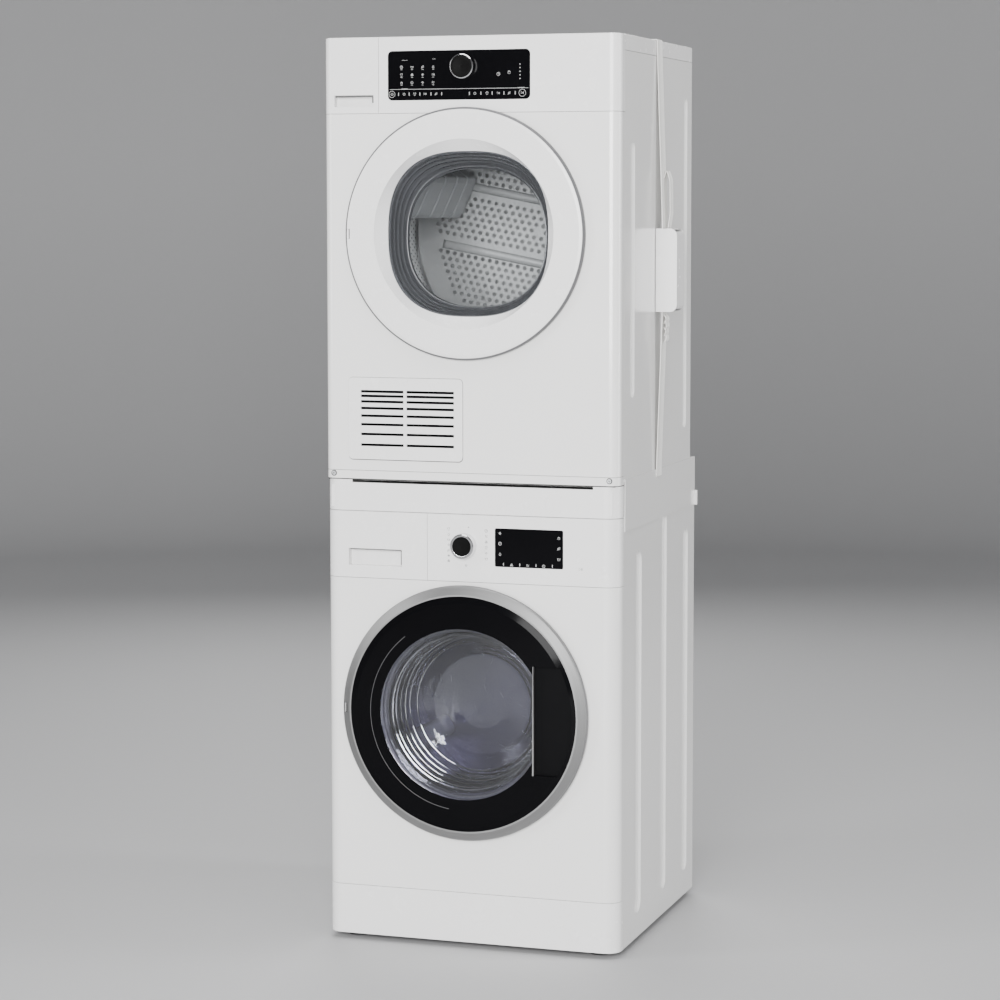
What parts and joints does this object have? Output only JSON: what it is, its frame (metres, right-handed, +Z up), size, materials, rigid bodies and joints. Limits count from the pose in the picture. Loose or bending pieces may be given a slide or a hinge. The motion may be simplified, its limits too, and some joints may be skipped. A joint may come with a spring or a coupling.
{
  "type": "washer dryer stack",
  "caption": "Front-loading washing machine with a tumble dryer strapped on top through a stacking kit that has a pull-out shelf.",
  "frame": {"origin": "on the floor, at the centre of the washer's feet", "axes": "+Z up, -Y towards the user, +X on the user's right"},
  "size_m": [0.6468, 0.619, 1.7641],
  "materials": {
    "enamel": "gloss white enamel",
    "white_plastic": "gloss white plastic",
    "matt_white": "satin white plastic",
    "black_gloss": "glossy black",
    "black_plastic": "matt black plastic",
    "silver": "satin silver",
    "chrome_knob": "polished skirt, black cap",
    "clear": "clear",
    "bowl_glass": "clear moulded glass",
    "rubber": "grey rubber",
    "foot_rubber": "black rubber",
    "drum_steel": "brushed stainless steel",
    "grey_plastic": "grey plastic",
    "zinc": "zinc-plated steel",
    "iron": "painted casting",
    "lifter": "light grey plastic",
    "motor_casing": "bare casting",
    "concrete": "rough concrete",
    "webbing": "cream woven webbing",
    "fins": "bare aluminium"
  },
  "bodies": {
    "stack": {"washer_cabinet": "enamel", "dryer_cabinet": "enamel", "washer_base": "grey_plastic", "washer_feet": "foot_rubber", "washer_top_panel": "white_plastic", "washer_front_panel": "enamel", "washer_control_panel": "white_plastic", "washer_display": "black_gloss", "dispenser_housing": "grey_plastic", "washer_hinge": "zinc", "dryer_hinge": "zinc", "washer_door_lock": "grey_plastic", "washer_gasket": "rubber", "washer_tub": "grey_plastic", "washer_motor": "motor_casing", "washer_belt": "rubber", "washer_counterweight": "concrete", "washer_suspension": "zinc", "drain_pump": "grey_plastic", "kit_frame": "enamel", "strap": "webbing", "ratchet": "zinc", "dryer_base": "grey_plastic", "dryer_base_strip": "enamel", "base_strip_screws": "zinc", "dryer_front_panel": "enamel", "dryer_control_panel": "white_plastic", "dryer_control_window": "black_gloss", "dryer_top_cover": "white_plastic", "dryer_rear_wall": "drum_steel", "dryer_motor": "motor_casing", "dryer_belt": "rubber", "heat_exchanger": "fins", "lint_filter": "matt_white"},
    "washer_door": {"washer_door_ring": "silver", "washer_door_cover": "black_gloss", "washer_door_window": "clear", "washer_door_frame": "black_plastic", "washer_door_glass": "bowl_glass"},
    "washer_drum": {"washer_drum": "drum_steel", "washer_lifters": "lifter", "washer_drum_shaft": "iron", "washer_pulley": "fins"},
    "washer_motor_pulley": {"washer_motor_pulley": "zinc"},
    "washer_knob": {"washer_knob": "chrome_knob"},
    "detergent_drawer": {"drawer_front": "white_plastic", "drawer_tray": "matt_white"},
    "plinth": {"washer_plinth": "white_plastic"},
    "shelf": {"kit_shelf": "white_plastic"},
    "ratchet_cover": {"ratchet_cover": "white_plastic"},
    "dryer_door": {"dryer_door_rim": "white_plastic", "dryer_door_glass": "clear", "dryer_door_frame": "grey_plastic"},
    "dryer_drum": {"dryer_drum": "drum_steel"},
    "dryer_motor_pulley": {"dryer_motor_pulley": "zinc"},
    "dryer_knob": {"dryer_knob": "chrome_knob"},
    "water_tank": {"tank_front": "white_plastic", "water_tank": "matt_white"},
    "exchanger_flap": {"heat_exchanger_flap": "white_plastic"}
  },
  "joints": [
    {"name": "washer_door_hinge", "type": "hinge", "parent": "stack", "child": "washer_door", "pos_m": [-0.253, -0.2965, 0.464], "axis": [0, 0, -1], "range_deg": [0, 130]},
    {"name": "washer_drum_spin", "type": "hinge", "parent": "stack", "child": "washer_drum", "pos_m": [-0.0085, 0, 0.464], "axis": [0, 1, 0], "continuous": true},
    {"name": "washer_motor_spin", "type": "hinge", "parent": "stack", "child": "washer_motor_pulley", "pos_m": [0.0215, 0.15, 0.128], "axis": [0, 1, 0], "continuous": true},
    {"name": "washer_knob_turn", "type": "hinge", "parent": "stack", "child": "washer_knob", "pos_m": [-0.011, -0.286, 0.7887], "axis": [0, 1, 0], "continuous": true},
    {"name": "detergent_drawer_slide", "type": "slide", "parent": "stack", "child": "detergent_drawer", "axis": [0, -1, 0], "range_m": [0, 0.2]},
    {"name": "plinth_pull", "type": "slide", "parent": "stack", "child": "plinth", "axis": [0, -1, 0], "range_m": [0, 0.08]},
    {"name": "shelf_slide", "type": "slide", "parent": "stack", "child": "shelf", "axis": [0, -1, 0], "range_m": [0, 0.36]},
    {"name": "ratchet_cover_pull", "type": "slide", "parent": "stack", "child": "ratchet_cover", "axis": [1, 0, 0], "range_m": [0, 0.08]},
    {"name": "dryer_door_hinge", "type": "hinge", "parent": "stack", "child": "dryer_door", "pos_m": [-0.245, -0.294, 1.3866], "axis": [0, 0, -1], "range_deg": [0, 130]},
    {"name": "dryer_drum_spin", "type": "hinge", "parent": "stack", "child": "dryer_drum", "pos_m": [-0.0085, 0, 1.3866], "axis": [0, 1, 0], "continuous": true},
    {"name": "dryer_motor_spin", "type": "hinge", "parent": "stack", "child": "dryer_motor_pulley", "pos_m": [0.18, -0.05, 1.01], "axis": [0, 1, 0], "continuous": true},
    {"name": "dryer_knob_turn", "type": "hinge", "parent": "stack", "child": "dryer_knob", "pos_m": [-0.011, -0.286, 1.704], "axis": [0, 1, 0], "continuous": true},
    {"name": "water_tank_slide", "type": "slide", "parent": "stack", "child": "water_tank", "axis": [0, -1, 0], "range_m": [0, 0.36]},
    {"name": "exchanger_flap_hinge", "type": "hinge", "parent": "stack", "child": "exchanger_flap", "pos_m": [-0.1305, -0.2861, 0.953], "axis": [1, 0, 0], "range_deg": [0, 90]}
  ],
  "couplings": [
    {"joint": "washer_motor_spin", "follows": "washer_drum_spin", "ratio": 10},
    {"joint": "dryer_motor_spin", "follows": "dryer_drum_spin", "ratio": 27}
  ]
}
